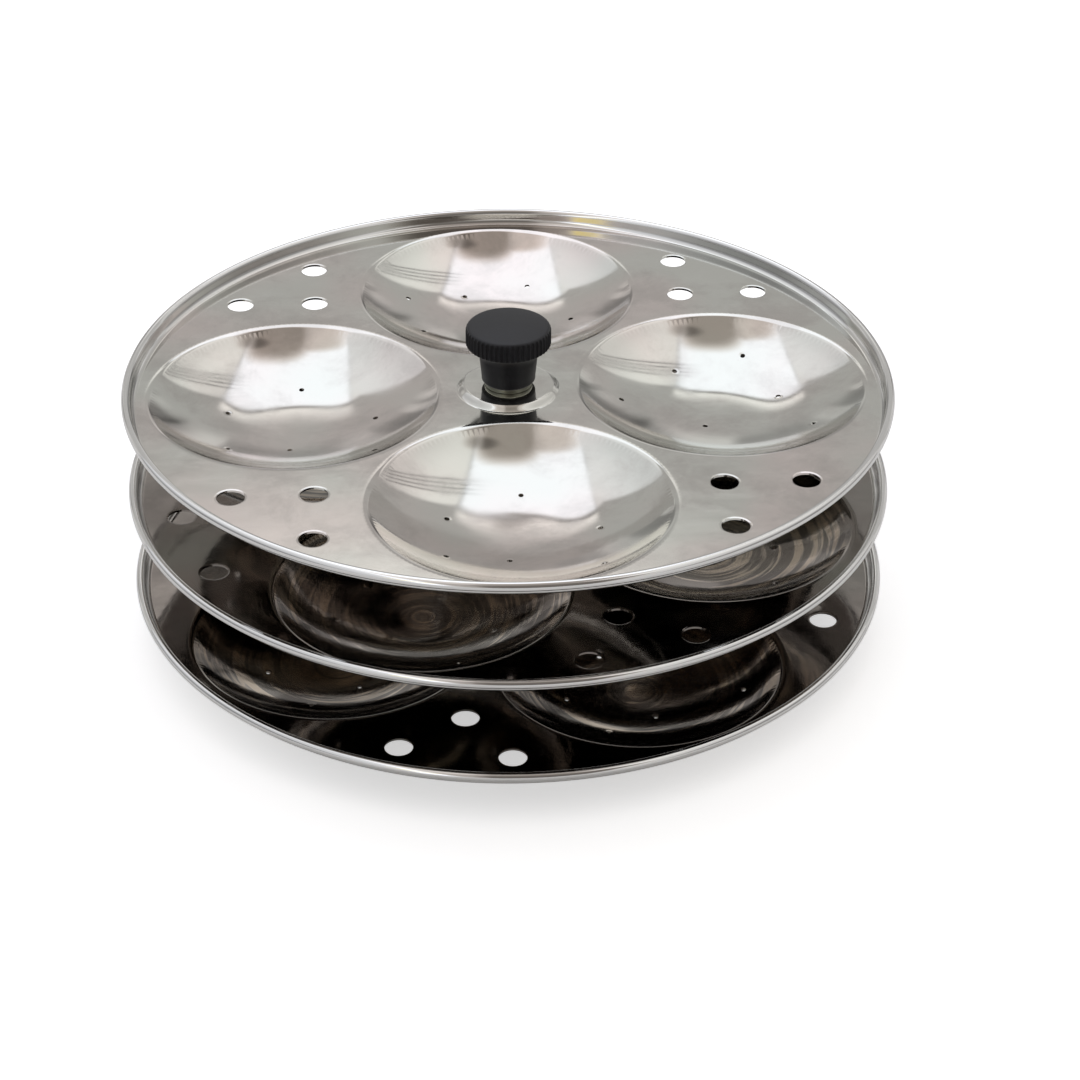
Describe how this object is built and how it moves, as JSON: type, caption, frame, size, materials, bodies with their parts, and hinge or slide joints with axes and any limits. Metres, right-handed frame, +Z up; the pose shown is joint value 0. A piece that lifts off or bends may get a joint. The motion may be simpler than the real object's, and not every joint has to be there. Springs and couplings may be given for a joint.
{
  "type": "idli stand",
  "caption": "Tiered stand of round pressed-steel plates with shallow bowls, spaced on a central rod and clamped by a fluted knob, for steaming rice cakes.",
  "frame": {"origin": "on the rod's axis, at the level that the bowls of the bottom plate rest on", "axes": "+Z up along the rod; +X to the right and -Y towards the viewer in the picture's view"},
  "size_m": [0.19, 0.19, 0.08],
  "materials": {
    "polished_steel": "mirror-polished stainless sheet",
    "turned_steel": "turned stainless bar and tube",
    "plated_steel": "bright zinc plating",
    "brass": "turned brass",
    "phenolic": "black moulded phenolic, satin"
  },
  "bodies": {
    "base": {"bottom_plate": "polished_steel", "tie_rod": "turned_steel", "foot_washer": "plated_steel", "foot_nut": "plated_steel"},
    "lower_tube": {"lower_spacer": "turned_steel"},
    "middle_tier": {"middle_plate": "polished_steel"},
    "upper_tube": {"upper_spacer": "turned_steel"},
    "top_tier": {"top_plate": "polished_steel"},
    "collar": {"knob_collar": "turned_steel"},
    "knob": {"knob_body": "phenolic", "knob_insert": "brass"}
  },
  "joints": [
    {"name": "lower_lift", "type": "slide", "parent": "base", "child": "lower_tube", "axis": [0, 0, 1], "range_m": [0, 0.0627]},
    {"name": "middle_turn", "type": "hinge", "parent": "lower_tube", "child": "middle_tier", "pos_m": [0, 0, 0.0361], "axis": [0, 0, 1], "continuous": true},
    {"name": "upper_lift", "type": "slide", "parent": "lower_tube", "child": "upper_tube", "axis": [0, 0, 1], "range_m": [0, 0.0367]},
    {"name": "top_turn", "type": "hinge", "parent": "upper_tube", "child": "top_tier", "pos_m": [0, 0, 0.0621], "axis": [0, 0, 1], "continuous": true},
    {"name": "screw_rise", "type": "slide", "parent": "upper_tube", "child": "collar", "axis": [0, 0, 1], "range_m": [0, 0.008]},
    {"name": "knob_turn", "type": "hinge", "parent": "collar", "child": "knob", "pos_m": [0, 0, 0.0647], "axis": [0, 0, 1], "range_deg": [0, 2880]}
  ],
  "couplings": [
    {"joint": "screw_rise", "follows": "knob_turn", "m_per_rad": 0.00015915}
  ]
}
